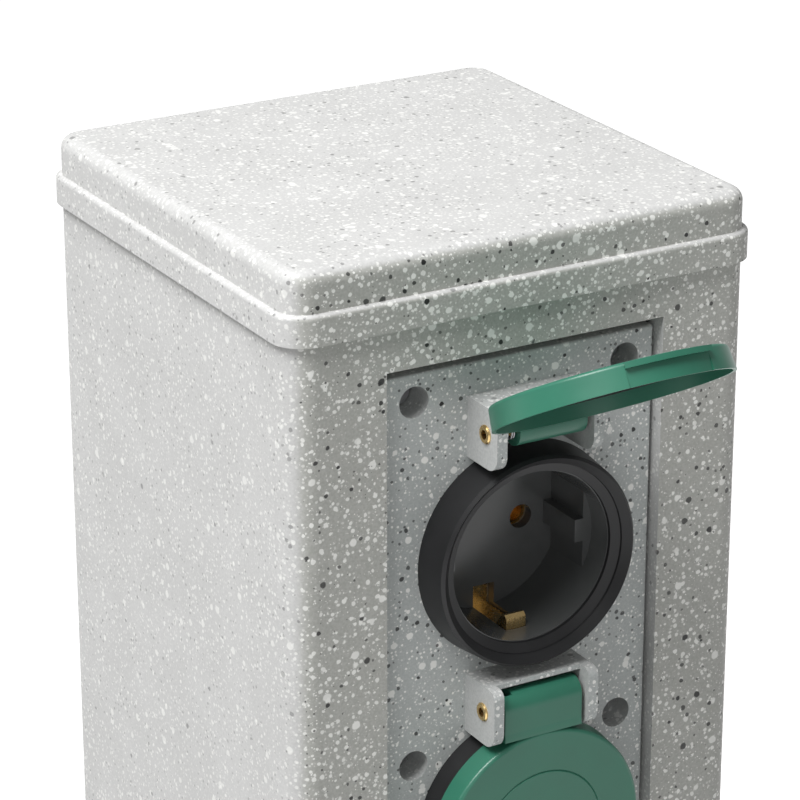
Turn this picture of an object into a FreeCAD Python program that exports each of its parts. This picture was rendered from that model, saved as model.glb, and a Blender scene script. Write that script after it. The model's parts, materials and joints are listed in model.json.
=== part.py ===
"""Garden socket post: a hollow stone-look column with a shoebox cap, a recessed front panel with two
earthed sockets under hinged lids, and the wiring, terminals and ground plate inside.

Millimetres. The origin is the middle of the base on the ground, +Z is up and the front faces -Y.
The upper lid stands open as in the photograph and the lower lid is closed.
"""

import FreeCAD
import Part
import math
import os
import Sketcher
from FreeCAD import Placement, Rotation, Vector

doc = FreeCAD.newDocument("socket_post")

# Driving dimensions
SIZES = {
    # Column and its front opening
    "post_width": 115.0,
    "post_depth": 115.0,
    "post_height": 400.0,
    "wall": 4.0,
    "corner_radius": 6.0,
    "inner_corner_radius": 2.5,
    "opening_width": 69.4,
    "opening_height": 190.2,
    "opening_drop": 25.4,
    "frame_wall": 3.0,
    "ledge_width": 5.0,
    "ledge_thickness": 3.0,
    # Cap, its band over the seam and its seal
    "cap_thickness": 4.0,
    "cap_edge_radius": 3.0,
    "band_drop": 9.1,
    "band_height": 6.8,
    "band_proud": 1.4,
    "band_clearance": 0.25,
    "band_edge_radius": 1.0,
    "cap_overlap": 4.0,
    "cap_seal_thickness": 1.0,
    "cap_seal_width": 3.0,
    "cap_lug_size": 11.0,
    "cap_lug_height": 10.0,
    "cap_boss_radius": 4.5,
    # Front panel, its seal and its sunk screws
    "panel_recess": 2.8,
    "panel_thickness": 3.0,
    "panel_seal_thickness": 1.5,
    "panel_gap_side": 0.8,
    "panel_gap_end": 2.6,
    "panel_edge_radius": 0.5,
    "screw_spread": 53.0,
    "screw_row_pitch": 86.1,
    "well_radius": 3.6,
    "well_wall": 1.6,
    "well_depth": 10.0,
    "well_floor": 1.6,
    "boss_length": 10.0,
    "boss_height": 10.0,
    "boss_reach": 5.0,
    # Screws
    "screw_radius": 1.95,
    "screw_head_radius": 3.3,
    "screw_head_height": 2.4,
    "screw_recess_radius": 1.1,
    "small_screw_radius": 1.25,
    "small_head_radius": 2.2,
    "small_head_height": 1.5,
    "thread_clearance": 0.05,
    "through_clearance": 0.3,
    # Sockets: black ring, grey cup, rear base
    "socket_drop": 48.4,
    "socket_pitch": 65.5,
    "ring_base_radius": 25.5,
    "ring_front_radius": 24.6,
    "ring_height": 9.0,
    "ring_lip_width": 0.7,
    "ring_step_radius": 22.2,
    "ring_neck_wall": 1.25,
    "mouth_radius": 19.75,
    "mouth_depth": 3.8,
    "cup_wall": 2.0,
    "cup_depth": 19.8,
    "cup_back": 2.5,
    "cup_flat_offset": 17.5,
    "cup_flat_start": 6.5,
    "guide_offset": 15.4,
    "guide_width": 5.4,
    "fit_clearance": 0.1,
    "collar_wall": 2.0,
    "collar_height": 4.0,
    "flange_thickness": 2.0,
    "flange_radius": 25.2,
    "lug_radius": 3.6,
    "lug_offset": 27.5,
    "base_radius": 20.5,
    "base_length": 23.0,
    "pin_pitch": 19.0,
    "contact_hole_radius": 2.8,
    "sleeve_outer_radius": 3.2,
    "sleeve_inner_radius": 2.45,
    "sleeve_length": 9.0,
    "terminal_width": 8.0,
    "terminal_height": 12.4,
    "terminal_length": 7.0,
    "earth_terminal_height": 4.0,
    "earth_slot_width": 5.4,
    "earth_slot_start": 5.8,
    "earth_slot_depth": 5.2,
    "clip_thickness": 0.8,
    "clip_nose_height": 4.9,
    "clip_flare": 0.8,
    "clip_nose_end": 2.0,
    "clip_nose_ease": 0.3,
    "clip_ramp_end": 5.0,
    "earth_terminal_drop": 13.0,
    "base_screw_x": 13.0,
    "base_screw_z": 11.5,
    # Hinge brackets moulded on the panel
    "hinge_rise": 32.2,
    "hinge_proud": 7.7,
    "bracket_width": 26.8,
    "ear_thickness": 2.5,
    "ear_front": 4.8,
    "ear_top": 6.2,
    "ear_bottom": 7.8,
    "ear_top_radius": 2.0,
    "ear_bottom_radius": 3.8,
    "web_thickness": 1.1,
    "web_setback": 3.6,
    # Lids
    "open_angle": 120.0,
    "lid_radius": 26.0,
    "lid_face": 3.8,
    "lid_thickness": 1.2,
    "lid_edge_radius": 0.9,
    "lid_line_radius": 15.5,
    "lid_line_depth": 0.25,
    "skirt_back": 1.6,
    "skirt_wall": 0.8,
    "neck_thickness": 2.0,
    "neck_side_gap": 1.0,
    "neck_foot_drop": 0.3,
    "neck_step_start": 5.2,
    "neck_step_end": 6.4,
    "barrel_radius": 3.7,
    "spring_room": 2.9,
    "grip_angle": 46.0,
    "grip_proud": 0.8,
    "grip_thickness": 1.5,
    "grip_recess": 0.35,
    "lid_seal_width": 3.1,
    "lid_seal_thickness": 1.0,
    # Hinge pins and springs
    "pin_radius": 1.5,
    "pin_bore_radius": 1.05,
    "pin_head_radius": 2.1,
    "pin_head_height": 0.5,
    "pin_clearance": 0.05,
    "coil_radius": 2.0,
    "coil_wire_radius": 0.25,
    "coil_turns": 3.0,
    "spring_leg": 2.6,
    "spring_inset": 0.4,
    # Ground plate, cable entry and clamp
    "plate_clearance": 0.5,
    "plate_thickness": 4.0,
    "anchor_spacing": 80.0,
    "anchor_radius": 4.5,
    "upstand_height": 20.0,
    "upstand_length": 80.0,
    "side_screw_spacing": 60.0,
    "side_screw_height": 14.0,
    "entry_offset": 18.0,
    "entry_radius": 5.2,
    "grommet_wall": 2.8,
    "grommet_flange": 2.6,
    "grommet_lip": 1.4,
    "grommet_height": 9.0,
    # Terminal block on its carrier
    "carrier_height": 216.0,
    "carrier_width": 44.0,
    "carrier_length": 62.0,
    "carrier_thickness": 3.0,
    "carrier_standoff": 6.0,
    "carrier_screw_spacing": 50.0,
    "standoff_radius": 4.0,
    "block_height": 20.0,
    "block_depth": 15.0,
    "pole_pitch": 9.5,
    "clamp_saddle_width": 26.0,
    "clamp_saddle_height": 8.0,
    "clamp_saddle_depth": 9.0,
    "clamp_margin": 9.0,
    # Wires
    "wire_radius": 1.5,
    "wire_entry_clearance": 0.15,
    "wire_entry_depth": 6.0,
    "wire_spread": 4.4,
    "core_radius": 0.9,
    "core_length": 4.0,
    "wire_bend": 9.0,
}


class Size:
    """A length with the text of the formula that ties it to the sheet."""

    def __init__(self, text, value):
        self.text = text
        self.value = value

    def __add__(self, other):
        return joined(self, "+", other)

    def __radd__(self, other):
        return joined(other, "+", self)

    def __sub__(self, other):
        return joined(self, "-", other)

    def __rsub__(self, other):
        return joined(other, "-", self)

    def __mul__(self, other):
        return joined(self, "*", other)

    def __rmul__(self, other):
        return joined(other, "*", self)

    def __truediv__(self, other):
        return joined(self, "/", other)

    def __neg__(self):
        return joined(0, "-", self)


def sized(number):
    """The number as a Size."""
    if isinstance(number, Size):
        return number
    return Size(repr(float(number)), float(number))


def joined(left, sign, right):
    """The Size of left sign right."""
    left = sized(left)
    right = sized(right)
    values = {
        "+": left.value + right.value,
        "-": left.value - right.value,
        "*": left.value * right.value,
        "/": left.value / right.value if right.value else 0.0,
    }
    return Size("({} {} {})".format(left.text, sign, right.text), values[sign])


def make_sheet():
    """The spreadsheet of driving dimensions, and the same names as Sizes."""
    sheet = doc.addObject("Spreadsheet::Sheet", "sizes")
    sizes = {}
    for row, (name, value) in enumerate(SIZES.items(), start=1):
        sheet.set("A{}".format(row), name)
        sheet.set("B{}".format(row), str(value))
        sheet.setAlias("B{}".format(row), name)
        sizes[name] = Size("sizes." + name, value)
    doc.recompute()
    return sizes


S = make_sheet()
NODES = []

# Places that several pieces share
HALF_WIDTH = S["post_width"] / 2
HALF_DEPTH = S["post_depth"] / 2
FRONT = -HALF_DEPTH
COLUMN_TOP = S["post_height"] - S["band_drop"] - S["band_height"] + S["cap_overlap"]
BAND_BOTTOM = COLUMN_TOP - S["cap_overlap"]
CAP_SHOULDER = COLUMN_TOP + S["cap_seal_thickness"]
OPENING_TOP = S["post_height"] - S["opening_drop"]
OPENING_MIDDLE = OPENING_TOP - S["opening_height"] / 2
PANEL_FACE = FRONT + S["panel_recess"]
PANEL_BACK = PANEL_FACE + S["panel_thickness"]
SEAT = PANEL_BACK + S["panel_seal_thickness"]
LEDGE_BACK = SEAT + S["ledge_thickness"]
WELL_END = PANEL_FACE + S["well_depth"] + S["well_floor"]
BOSS_FRONT = WELL_END + S["through_clearance"]
BOSS_BACK = BOSS_FRONT + S["boss_length"]
WELL_OUTER = S["well_radius"] + S["well_wall"]
SCREW_X = S["screw_spread"] / 2
SCREW_ROWS = [OPENING_MIDDLE + S["screw_row_pitch"] * k for k in (-1, 0, 1)]
SCREW_PLACES = [(SCREW_X * side, row) for row in SCREW_ROWS for side in (-1, 1)]
SOCKETS = {
    "upper": OPENING_TOP - S["socket_drop"],
    "lower": OPENING_TOP - S["socket_drop"] - S["socket_pitch"],
}
PIN_Y = PANEL_FACE - S["hinge_proud"]
BRACKET_HALF = S["bracket_width"] / 2
EAR_INNER = BRACKET_HALF - S["ear_thickness"]
NECK_HALF = EAR_INNER - S["neck_side_gap"]
LUG_PLACE = HALF_WIDTH - S["wall"] - S["cap_lug_size"] / 2
LUG_PLACE_Y = HALF_DEPTH - S["wall"] - S["cap_lug_size"] / 2
SCREW_HOLE = S["screw_radius"] + S["thread_clearance"]
SCREW_PASSAGE = S["screw_radius"] + S["through_clearance"]
SMALL_HOLE = S["small_screw_radius"] + S["thread_clearance"]
SMALL_PASSAGE = S["small_screw_radius"] + S["through_clearance"]
SPRING_LID_X = S["coil_wire_radius"] + S["spring_inset"] - NECK_HALF
SPRING_PANEL_X = S["spring_room"] - S["coil_wire_radius"] - S["fit_clearance"] - NECK_HALF

# Places along a socket's axis, measured back from the panel's face
MOUTH = S["mouth_depth"] - S["ring_height"]
CUP_FLOOR = MOUTH + S["cup_depth"]
CUP_END = CUP_FLOOR + S["cup_back"]
CUP_OUTER = S["mouth_radius"] + S["cup_wall"]
RING_BORE = CUP_OUTER + S["fit_clearance"]
RING_NECK = RING_BORE + S["ring_neck_wall"]
PANEL_HOLE = RING_NECK + S["fit_clearance"]
COLLAR_END = S["panel_thickness"] + S["collar_height"]
BRIDGE_BACK = CUP_END + S["clip_thickness"] + S["fit_clearance"] * 2
BASE_END = CUP_END + S["base_length"]
POLE_X = S["pin_pitch"] / 2
SLEEVE_END = BRIDGE_BACK + S["sleeve_length"]
TERMINAL_END = SLEEVE_END + S["terminal_length"]
WIRE_HOLE = S["wire_radius"] + S["wire_entry_clearance"]
WIRE_STOP = TERMINAL_END + S["fit_clearance"]
CORE_HOLE = S["core_radius"] + S["thread_clearance"]
EARTH_Z = -S["earth_terminal_drop"]


def bind(thing, prop, size):
    """Tie a property of the object to the sheet."""
    size = sized(size)
    thing.setExpression(prop, size.text)


def place(thing, x=0, y=0, z=0, rotation=None):
    """Put the object at a place tied to the sheet, turned by a fixed rotation."""
    thing.Placement = Placement(Vector(0, 0, 0), rotation or Rotation())
    for axis, size in zip("xyz", (x, y, z)):
        bind(thing, "Placement.Base." + axis, size)
    return thing


def finished(thing, label):
    """Name the object as a sub-part."""
    thing.Label = label
    NODES.append(thing)
    return thing


ALONG = {"x": Rotation(Vector(0, 1, 0), 90), "y": Rotation(Vector(1, 0, 0), -90), "z": Rotation()}


def block(x, y, z, dx, dy, dz):
    """A box from its lowest corner and its three lengths."""
    box = doc.addObject("Part::Box", "block")
    for prop, size in (("Length", dx), ("Width", dy), ("Height", dz)):
        bind(box, prop, size)
    return place(box, x, y, z)


def rod(axis, x, y, z, radius, length):
    """A cylinder along an axis from its start."""
    cylinder = doc.addObject("Part::Cylinder", "rod")
    bind(cylinder, "Radius", radius)
    bind(cylinder, "Height", length)
    return place(cylinder, x, y, z, ALONG[axis])


def together(*things):
    """One solid out of several that meet."""
    fuse = doc.addObject("Part::MultiFuse", "fuse")
    fuse.Shapes = list(things)
    return fuse


def group(*things):
    """Separate solids kept as one sub-part."""
    compound = doc.addObject("Part::Compound", "group")
    compound.Links = list(things)
    return compound


def without(base, *tools):
    """The base with the tools cut away."""
    cut = doc.addObject("Part::Cut", "cut")
    cut.Base = base
    cut.Tool = tools[0] if len(tools) == 1 else group(*tools)
    return cut


def shared(*things):
    """What the things have in common."""
    common = doc.addObject("Part::MultiCommon", "common")
    common.Shapes = list(things)
    return common


def new_body(name):
    """An empty body."""
    return doc.addObject("PartDesign::Body", name)


def sketch(body, role, offset=0, shift=0):
    """A sketch on one of the body's own planes, moved along its normal and up in the plane."""
    drawing = body.newObject("Sketcher::SketchObject", "sketch")
    plane = next(f for f in body.Origin.OriginFeatures if f.Role == role + "_Plane")
    drawing.AttachmentSupport = (plane, "")
    drawing.MapMode = "FlatFace"
    bind(drawing, "AttachmentOffset.Base.z", offset)
    bind(drawing, "AttachmentOffset.Base.y", shift)
    return drawing


def constrain(drawing, kind, geometry, point, size):
    """Tie a point's distance from the sketch's origin to the sheet."""
    size = sized(size)
    number = drawing.addConstraint(Sketcher.Constraint(kind, -1, 1, geometry, point, size.value))
    drawing.setExpression("Constraints[{}]".format(number), size.text)


def outline(drawing, points):
    """A closed outline of straight lines through the points."""
    points = [(sized(u), sized(v)) for u, v in points]
    first = drawing.GeometryCount
    count = len(points)
    for k, (u, v) in enumerate(points):
        end_u, end_v = points[(k + 1) % count]
        line = Part.LineSegment(Vector(u.value, v.value, 0), Vector(end_u.value, end_v.value, 0))
        drawing.addGeometry(line, False)
    for k, (u, v) in enumerate(points):
        drawing.addConstraint(
            Sketcher.Constraint("Coincident", first + k, 2, first + (k + 1) % count, 1)
        )
        constrain(drawing, "DistanceX", first + k, 1, u)
        constrain(drawing, "DistanceY", first + k, 1, v)
    return drawing


def rectangle(drawing, u, v, width, height):
    """A rectangle about its middle."""
    left = u - width / 2
    low = v - height / 2
    return outline(
        drawing,
        [(left, low), (left + width, low), (left + width, low + height), (left, low + height)],
    )


def circle(drawing, u, v, radius):
    """A circle about its middle."""
    u, v, radius = sized(u), sized(v), sized(radius)
    number = drawing.GeometryCount
    drawing.addGeometry(Part.Circle(Vector(u.value, v.value, 0), Vector(0, 0, 1), radius.value), False)
    constrain(drawing, "DistanceX", number, 3, u)
    constrain(drawing, "DistanceY", number, 3, v)
    ring = drawing.addConstraint(Sketcher.Constraint("Radius", number, radius.value))
    drawing.setExpression("Constraints[{}]".format(ring), radius.text)
    return drawing


def extruded(body, kind, drawing, length, back=False, both=False):
    """A Pad or Pocket of the sketch. It runs along the normal, or back from it, or both ways."""
    feature = body.newObject("PartDesign::" + kind, kind.lower())
    feature.Profile = drawing
    bind(feature, "Length", length)
    feature.SideType = "Symmetric" if both else "One side"
    feature.Reversed = back
    return feature


def turned(body, kind, drawing, angle=360):
    """A Revolution or Groove about the sketch's horizontal axis, even on both sides of it."""
    feature = body.newObject("PartDesign::" + kind, kind.lower())
    feature.Profile = drawing
    feature.ReferenceAxis = (drawing, ["H_Axis"])
    bind(feature, "Angle", angle)
    feature.Midplane = True
    return feature


def edges(shape, wanted):
    """The names of the shape's edges for which the test holds."""
    return ["Edge{}".format(k) for k, edge in enumerate(shape.Edges, start=1) if wanted(edge)]


def rounded(body, radius, wanted):
    """A fillet on the wanted edges of the body's last feature."""
    doc.recompute()
    tip = body.Tip
    names = edges(tip.Shape, wanted)
    if not names:
        raise ValueError("no edge to round on " + body.Name)
    feature = body.newObject("PartDesign::Fillet", "fillet")
    feature.Base = (tip, names)
    bind(feature, "Radius", radius)
    return feature


def runs_along(edge, axis):
    """Whether the edge is a straight line along the axis."""
    if edge.Length < 1e-6:
        return False
    start = edge.valueAt(edge.FirstParameter)
    end = edge.valueAt(edge.LastParameter)
    chord = end - start
    if abs(chord.Length - edge.Length) > 1e-6:
        return False
    return abs(abs(chord.normalize().dot(axis)) - 1) < 1e-6


X_AXIS = Vector(1, 0, 0)
Y_AXIS = Vector(0, 1, 0)
Z_AXIS = Vector(0, 0, 1)


def middle(edge):
    """The middle of the edge's box."""
    return edge.BoundBox.Center


def near(value, size, slack=0.01):
    """Whether the value is the size."""
    return abs(value - sized(size).value) < slack


def make_column():
    """The hollow column with the framed front opening and everything moulded inside it."""
    body = new_body("post_column")
    extruded(body, "Pad", rectangle(sketch(body, "XY"), 0, 0, S["post_width"], S["post_depth"]), COLUMN_TOP)
    rounded(body, S["corner_radius"], lambda e: runs_along(e, Z_AXIS))
    inner_width = S["post_width"] - 2 * S["wall"]
    inner_depth = S["post_depth"] - 2 * S["wall"]
    hollow = rectangle(sketch(body, "XY", COLUMN_TOP), 0, 0, inner_width, inner_depth)
    extruded(body, "Pocket", hollow, COLUMN_TOP)
    rounded(
        body,
        S["inner_corner_radius"],
        lambda e: runs_along(e, Z_AXIS)
        and near(abs(middle(e).x), inner_width / 2)
        and near(abs(middle(e).y), inner_depth / 2),
    )

    # Frame round the opening, and the ledge that the panel's seal sits on
    frame_width = S["opening_width"] + 2 * S["frame_wall"]
    frame_height = S["opening_height"] + 2 * S["frame_wall"]
    frame_start = FRONT + S["wall"] / 2
    frame = rectangle(sketch(body, "XZ", -LEDGE_BACK), 0, OPENING_MIDDLE, frame_width, frame_height)
    extruded(body, "Pad", frame, LEDGE_BACK - frame_start)
    opening = rectangle(sketch(body, "XZ", -SEAT), 0, OPENING_MIDDLE, S["opening_width"], S["opening_height"])
    extruded(body, "Pocket", opening, SEAT - FRONT, back=True)
    ledge_hole = rectangle(
        sketch(body, "XZ", -LEDGE_BACK),
        0,
        OPENING_MIDDLE,
        S["opening_width"] - 2 * S["ledge_width"],
        S["opening_height"] - 2 * S["ledge_width"],
    )
    extruded(body, "Pocket", ledge_hole, LEDGE_BACK - FRONT, back=True)

    # Screw bosses on rails behind the ledge
    rails = sketch(body, "XZ", -BOSS_BACK)
    arms = sketch(body, "XZ", -BOSS_BACK)
    notches = sketch(body, "XZ", -LEDGE_BACK)
    pilots = sketch(body, "XZ", -BOSS_FRONT)
    rail_x = frame_width / 2 - S["frame_wall"] / 2
    arm_start = SCREW_X - S["boss_reach"]
    for side in (-1, 1):
        for row in SCREW_ROWS:
            arm_width = frame_width / 2 - arm_start
            arm_x = (arm_start + arm_width / 2) * side
            rectangle(rails, rail_x * side, row, S["frame_wall"], S["boss_height"])
            rectangle(arms, arm_x, row, arm_width, S["boss_height"])
            circle(notches, SCREW_X * side, row, WELL_OUTER + S["through_clearance"])
            circle(pilots, SCREW_X * side, row, SCREW_HOLE)
    extruded(body, "Pad", rails, BOSS_BACK - SEAT)
    extruded(body, "Pad", arms, BOSS_BACK - BOSS_FRONT)
    extruded(body, "Pocket", notches, S["ledge_thickness"], back=True)
    extruded(body, "Pocket", pilots, S["boss_length"] - S["well_floor"])

    # Corner lugs for the cap's screws
    lugs = sketch(body, "XY", COLUMN_TOP)
    passages = sketch(body, "XY", COLUMN_TOP)
    for side in (-1, 1):
        for end in (-1, 1):
            rectangle(lugs, LUG_PLACE * side, LUG_PLACE_Y * end, S["cap_lug_size"], S["cap_lug_size"])
            circle(passages, LUG_PLACE * side, LUG_PLACE_Y * end, SCREW_PASSAGE)
    extruded(body, "Pad", lugs, S["cap_lug_height"], back=True)
    extruded(body, "Pocket", passages, S["cap_lug_height"])

    # Stand-offs on the rear wall for the terminal carrier
    rear = HALF_DEPTH - S["wall"]
    standoffs = sketch(body, "XZ", -rear)
    standoff_pilots = sketch(body, "XZ", -(rear - S["carrier_standoff"]))
    for end in (-1, 1):
        spot = S["carrier_height"] + S["carrier_screw_spacing"] / 2 * end
        circle(standoffs, 0, spot, S["standoff_radius"])
        circle(standoff_pilots, 0, spot, SCREW_HOLE)
    extruded(body, "Pad", standoffs, S["carrier_standoff"])
    extruded(body, "Pocket", standoff_pilots, S["carrier_standoff"])

    # Side holes for the ground plate's screws
    side_holes = sketch(body, "YZ")
    for end in (-1, 1):
        circle(side_holes, S["side_screw_spacing"] / 2 * end, S["side_screw_height"], SCREW_PASSAGE)
    extruded(body, "Pocket", side_holes, S["post_width"] * 2, both=True)
    return finished(body, "post_column")


def make_cap():
    """The cap: a shallow tray upside down, flush with the column, with a band over the seam."""
    body = new_body("cap")
    top = rectangle(sketch(body, "XY", CAP_SHOULDER), 0, 0, S["post_width"], S["post_depth"])
    extruded(body, "Pad", top, S["post_height"] - CAP_SHOULDER)
    rounded(body, S["corner_radius"], lambda e: runs_along(e, Z_AXIS))
    rounded(body, S["cap_edge_radius"], lambda e: near(e.BoundBox.ZMin, S["post_height"]))

    band_top = BAND_BOTTOM + S["band_height"]
    proud = 2 * S["band_proud"]
    band_body = rectangle(
        sketch(body, "XY", BAND_BOTTOM), 0, 0, S["post_width"] + proud, S["post_depth"] + proud
    )
    extruded(body, "Pad", band_body, S["band_height"])
    gap = S["band_clearance"]
    sleeve_width = S["post_width"] + 2 * gap
    sleeve_depth = S["post_depth"] + 2 * gap
    sleeve = rectangle(sketch(body, "XY", BAND_BOTTOM), 0, 0, sleeve_width, sleeve_depth)
    extruded(body, "Pocket", sleeve, CAP_SHOULDER - BAND_BOTTOM, back=True)
    rounded(
        body,
        S["corner_radius"] + gap,
        lambda e: runs_along(e, Z_AXIS)
        and near(abs(middle(e).x), HALF_WIDTH + gap)
        and near(abs(middle(e).y), HALF_DEPTH + gap),
    )
    rounded(
        body,
        S["corner_radius"] + S["band_proud"],
        lambda e: runs_along(e, Z_AXIS) and near(e.BoundBox.ZMax, band_top) and near(e.BoundBox.ZMin, BAND_BOTTOM),
    )
    half_band = HALF_WIDTH + S["band_proud"]
    half_band_y = HALF_DEPTH + S["band_proud"]
    rounded(
        body,
        S["band_edge_radius"],
        lambda e: near(e.BoundBox.ZMin, band_top)
        and near(e.BoundBox.ZMax, band_top)
        and (abs(middle(e).x) > half_band.value - 4 or abs(middle(e).y) > half_band_y.value - 4)
        and e.Length > 1
        and outside_wall(e),
    )

    hollow = rectangle(
        sketch(body, "XY", CAP_SHOULDER),
        0,
        0,
        S["post_width"] - 2 * S["wall"],
        S["post_depth"] - 2 * S["wall"],
    )
    roof = S["post_height"] - S["cap_thickness"]
    extruded(body, "Pocket", hollow, roof - CAP_SHOULDER, back=True)

    boss_bottom = COLUMN_TOP + S["through_clearance"]
    bosses = sketch(body, "XY", boss_bottom)
    pilots = sketch(body, "XY", boss_bottom)
    for side in (-1, 1):
        for end in (-1, 1):
            circle(bosses, LUG_PLACE * side, LUG_PLACE_Y * end, S["cap_boss_radius"])
            circle(pilots, LUG_PLACE * side, LUG_PLACE_Y * end, SCREW_HOLE)
    extruded(body, "Pad", bosses, roof - boss_bottom)
    extruded(body, "Pocket", pilots, roof - boss_bottom, back=True)
    return finished(body, "cap")


def outside_wall(edge):
    """Whether the edge lies outside the column's faces, on the band."""
    box = edge.BoundBox
    half_x = HALF_WIDTH.value
    half_y = HALF_DEPTH.value
    beyond_x = min(abs(box.XMin), abs(box.XMax)) > half_x - S["corner_radius"].value and abs(middle(edge).x) > half_x
    beyond_y = min(abs(box.YMin), abs(box.YMax)) > half_y - S["corner_radius"].value and abs(middle(edge).y) > half_y
    corner = abs(middle(edge).x) + abs(middle(edge).y) > half_x + half_y - S["corner_radius"].value * 0.6
    return beyond_x or beyond_y or corner


def make_cap_seal():
    """The flat rubber ring between the column's top edge and the cap."""
    inset = S["wall"] - S["cap_seal_width"]
    outer_x = S["post_width"] - inset
    outer_y = S["post_depth"] - inset
    body = new_body("cap_seal")
    ring = sketch(body, "XY", COLUMN_TOP)
    rectangle(ring, 0, 0, outer_x, outer_y)
    rectangle(ring, 0, 0, outer_x - 2 * S["cap_seal_width"], outer_y - 2 * S["cap_seal_width"])
    extruded(body, "Pad", ring, S["cap_seal_thickness"])
    inner_x = outer_x / 2 - S["cap_seal_width"]
    rounded(
        body,
        S["corner_radius"] - inset / 2,
        lambda e: runs_along(e, Z_AXIS) and near(abs(middle(e).x), outer_x / 2),
    )
    rounded(
        body,
        S["inner_corner_radius"],
        lambda e: runs_along(e, Z_AXIS) and near(abs(middle(e).x), inner_x),
    )
    return finished(body, "cap_seal")


def screw(axis, x, y, z, length, small=False):
    """A pan-head screw with its head's underside at the place and its shank along the axis."""
    shank = S["small_screw_radius"] if small else S["screw_radius"]
    head = S["small_head_radius"] if small else S["screw_head_radius"]
    height = S["small_head_height"] if small else S["screw_head_height"]
    flip = sized(length).value < 0
    span = -length if flip else length
    steps = {"x": (1, 0, 0), "y": (0, 1, 0), "z": (0, 0, 1)}[axis]
    spot = (x, y, z)
    if flip:
        shank_start = [p - span * s for p, s in zip(spot, steps)]
        head_start = spot
        recess_start = [p + height * 0.5 * s for p, s in zip(spot, steps)]
    else:
        shank_start = spot
        head_start = [p - height * s for p, s in zip(spot, steps)]
        recess_start = head_start
    whole = together(rod(axis, *shank_start, shank, span), rod(axis, *head_start, head, height))
    return without(whole, rod(axis, *recess_start, S["screw_recess_radius"], height * 0.5))


def make_cap_screws():
    """Four screws from below through the corner lugs into the cap."""
    screws = [
        screw("z", LUG_PLACE * side, LUG_PLACE_Y * end, COLUMN_TOP - S["cap_lug_height"], S["cap_lug_height"] + 5)
        for side in (-1, 1)
        for end in (-1, 1)
    ]
    return finished(group(*screws), "cap_screws")


def make_panel():
    """The recessed front panel with socket holes, sunk screw wells and two moulded hinge brackets."""
    body = new_body("front_panel")
    width = S["opening_width"] - 2 * S["panel_gap_side"]
    height = S["opening_height"] - 2 * S["panel_gap_end"]
    plate = rectangle(sketch(body, "XZ", -PANEL_BACK), 0, OPENING_MIDDLE, width, height)
    extruded(body, "Pad", plate, S["panel_thickness"])
    rounded(body, S["panel_edge_radius"], lambda e: runs_along(e, Y_AXIS))
    rounded(body, S["panel_edge_radius"], lambda e: near(e.BoundBox.YMax, PANEL_FACE))

    # Ears and web of each bracket
    for spot in SOCKETS.values():
        pin_z = spot + S["hinge_rise"]
        ears = outline(
            sketch(body, "YZ"),
            [
                (PANEL_BACK, pin_z - S["ear_bottom"]),
                (PANEL_BACK, pin_z + S["ear_top"]),
                (PIN_Y - S["ear_front"], pin_z + S["ear_top"]),
                (PIN_Y - S["ear_front"], pin_z - S["ear_bottom"]),
            ],
        )
        extruded(body, "Pad", ears, S["bracket_width"], both=True)

        def front_edge(e, level):
            return (
                runs_along(e, X_AXIS)
                and near(middle(e).y, PIN_Y - S["ear_front"])
                and near(middle(e).z, level)
            )

        rounded(body, S["ear_bottom_radius"], lambda e: front_edge(e, pin_z - S["ear_bottom"]))
        rounded(body, S["ear_top_radius"], lambda e: front_edge(e, pin_z + S["ear_top"]))
        web_front = PIN_Y - S["ear_front"] + S["web_setback"]
        web_under = pin_z + S["ear_top"] - S["web_thickness"]
        clear = S["ear_front"] + 1
        gap = outline(
            sketch(body, "YZ"),
            [
                (PANEL_FACE, pin_z - S["ear_bottom"] - 1),
                (PANEL_FACE, web_under),
                (web_front, web_under),
                (web_front, pin_z + S["ear_top"] + 1),
                (PIN_Y - clear, pin_z + S["ear_top"] + 1),
                (PIN_Y - clear, pin_z - S["ear_bottom"] - 1),
            ],
        )
        extruded(body, "Pocket", gap, 2 * EAR_INNER, both=True)
        extruded(body, "Pocket", circle(sketch(body, "YZ"), PIN_Y, pin_z, S["pin_radius"]), S["bracket_width"], both=True)

    # Rear collars and screw bosses, then the socket holes through them
    collars = sketch(body, "XZ", -(PANEL_FACE + COLLAR_END))
    holes = sketch(body, "XZ", -(PANEL_FACE + COLLAR_END))
    for spot in SOCKETS.values():
        circle(collars, 0, spot, PANEL_HOLE + S["collar_wall"])
        circle(holes, 0, spot, PANEL_HOLE)
    extruded(body, "Pad", collars, S["collar_height"])
    bosses = sketch(body, "XZ", -(PANEL_FACE + COLLAR_END))
    pilots = sketch(body, "XZ", -(PANEL_FACE + COLLAR_END))
    for spot in SOCKETS.values():
        for end in (-1, 1):
            circle(bosses, 0, spot + S["lug_offset"] * end, S["lug_radius"])
            circle(pilots, 0, spot + S["lug_offset"] * end, SMALL_HOLE)
    extruded(body, "Pad", bosses, S["collar_height"])
    extruded(body, "Pocket", holes, S["collar_height"] + S["panel_thickness"], back=True)
    extruded(body, "Pocket", pilots, S["collar_height"] + 1, back=True)

    # Screw wells: sleeves behind the panel, open to the front
    sleeves = sketch(body, "XZ", -WELL_END)
    wells = sketch(body, "XZ", -PANEL_FACE)
    passages = sketch(body, "XZ", -PANEL_FACE)
    for x, row in SCREW_PLACES:
        circle(sleeves, x, row, WELL_OUTER)
        circle(wells, x, row, S["well_radius"])
        circle(passages, x, row, SCREW_PASSAGE)
    extruded(body, "Pad", sleeves, WELL_END - PANEL_BACK)
    extruded(body, "Pocket", wells, S["well_depth"])
    extruded(body, "Pocket", passages, S["well_depth"] + S["well_floor"])
    return finished(body, "front_panel")


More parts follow.
